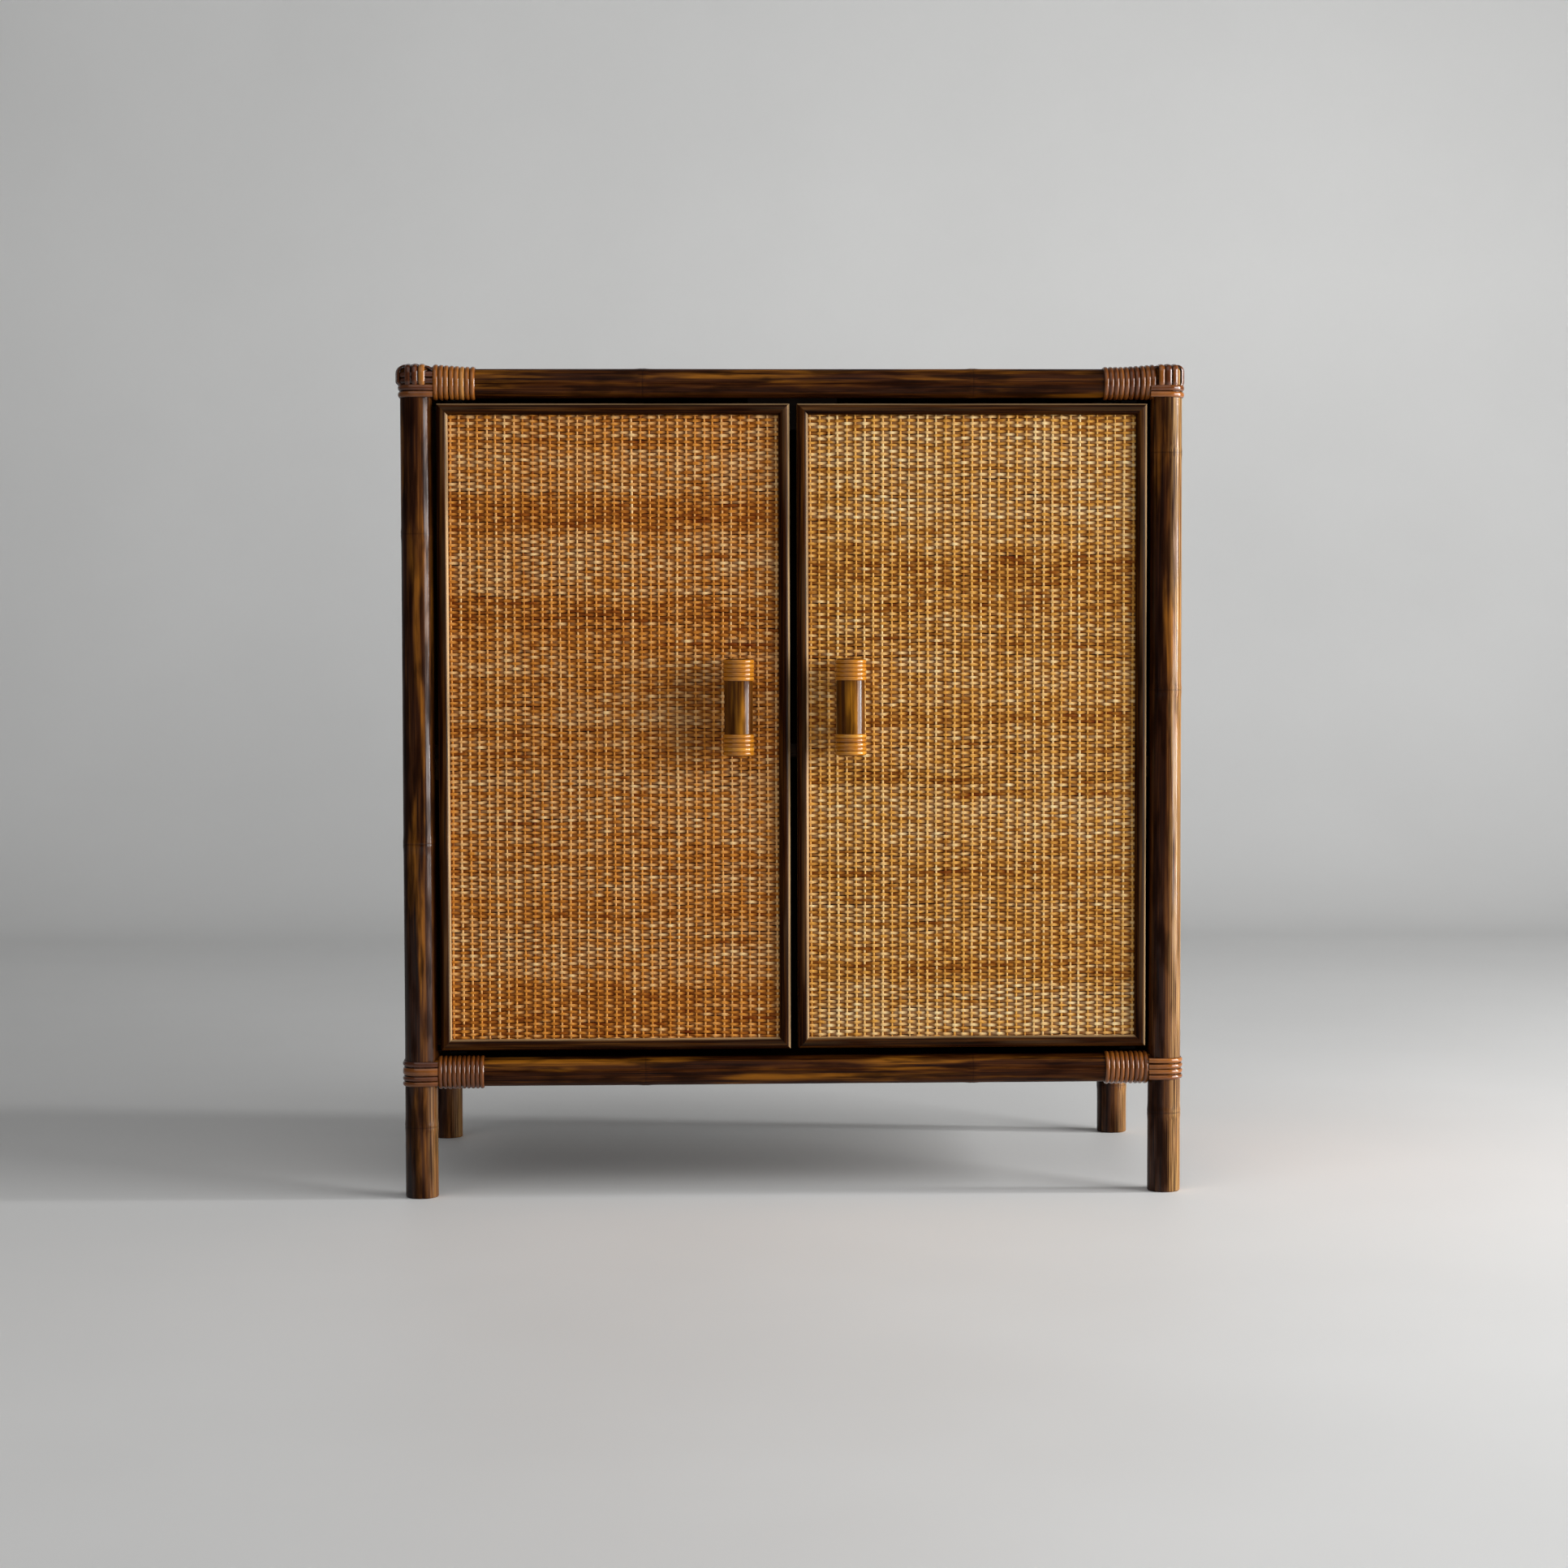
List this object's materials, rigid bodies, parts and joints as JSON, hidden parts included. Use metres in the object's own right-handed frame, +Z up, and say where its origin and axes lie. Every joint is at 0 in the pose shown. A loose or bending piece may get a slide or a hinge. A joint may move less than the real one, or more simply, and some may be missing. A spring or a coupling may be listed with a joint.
{
  "type": "storage side table",
  "caption": "Pole-framed storage side table with cane-bound joints, a woven top and sides, and woven hinged doors with bound pole handles in front of a shelved cupboard.",
  "frame": {"origin": "on the floor, midway between the outer sides and midway between the handles and the rear straps", "axes": "+X to the right of someone facing the doors, +Y from the doors to the back, +Z up"},
  "size_m": [0.705, 0.3978, 0.7466],
  "materials": {
    "stained_pole": "dark stained rattan pole, glossy varnish",
    "binding_cane": "orange-brown varnished cane strip",
    "woven_cane": "golden tan woven cane, satin varnish",
    "moulding_wood": "very dark stained half-round moulding, glossy",
    "stained_board": "brown stained board, satin",
    "plain_wood": "plain hardwood, sanded",
    "handle_pole": "amber-brown varnished pole",
    "handle_cane": "honey-gold varnished cane strip",
    "black_steel": "black painted steel plate",
    "steel": "zinc-plated steel",
    "brass": "turned brass",
    "magnet": "nickel-plated magnet"
  },
  "bodies": {
    "carcass": {"back_board": "stained_board", "binding_bottom_front_left": "binding_cane", "binding_bottom_front_right": "binding_cane", "binding_bottom_rear_left": "binding_cane", "binding_bottom_rear_right": "binding_cane", "binding_top_front_left": "binding_cane", "binding_top_front_right": "binding_cane", "binding_top_rear_left": "binding_cane", "binding_top_rear_right": "binding_cane", "bottom_board": "stained_board", "bottom_rail_front": "stained_pole", "bottom_rail_left": "stained_pole", "bottom_rail_rear": "stained_pole", "bottom_rail_right": "stained_pole", "bracket_screws": "steel", "catch_block": "plain_wood", "catch_magnets": "magnet", "catch_screws": "steel", "cleat_screws": "steel", "pivot_brackets_left": "black_steel", "pivot_brackets_right": "black_steel", "pivot_pins": "steel", "post_front_left": "stained_pole", "post_front_right": "stained_pole", "post_rear_left": "stained_pole", "post_rear_right": "stained_pole", "rail_dowels": "plain_wood", "shelf": "stained_board", "shelf_cleats": "plain_wood", "side_board_left": "stained_board", "side_board_right": "stained_board", "side_mouldings_left": "moulding_wood", "side_mouldings_right": "moulding_wood", "side_woven_sheet_left": "woven_cane", "side_woven_sheet_right": "woven_cane", "top_board": "stained_board", "top_rail_front": "stained_pole", "top_rail_left": "stained_pole", "top_rail_rear": "stained_pole", "top_rail_right": "stained_pole", "top_woven_sheet": "woven_cane"},
    "left_door": {"door_core_left": "stained_board", "door_woven_sheet_left": "woven_cane", "door_mouldings_left": "moulding_wood", "handle_grip_left": "handle_pole", "handle_bindings_left": "handle_cane", "handle_spacers_left": "plain_wood", "handle_screws_left": "steel", "pivot_bushes_left": "brass", "strike_plate_left": "steel"},
    "right_door": {"door_core_right": "stained_board", "door_woven_sheet_right": "woven_cane", "door_mouldings_right": "moulding_wood", "handle_grip_right": "handle_pole", "handle_bindings_right": "handle_cane", "handle_spacers_right": "plain_wood", "handle_screws_right": "steel", "pivot_bushes_right": "brass", "strike_plate_right": "steel"}
  },
  "joints": [
    {"name": "left_door_hinge", "type": "hinge", "parent": "carcass", "child": "left_door", "pos_m": [-0.302, -0.15609, 0.42229], "axis": [0, 0, -1], "range_deg": [0, 110]},
    {"name": "right_door_hinge", "type": "hinge", "parent": "carcass", "child": "right_door", "pos_m": [0.302, -0.15609, 0.42229], "axis": [0, 0, 1], "range_deg": [0, 110]}
  ]
}
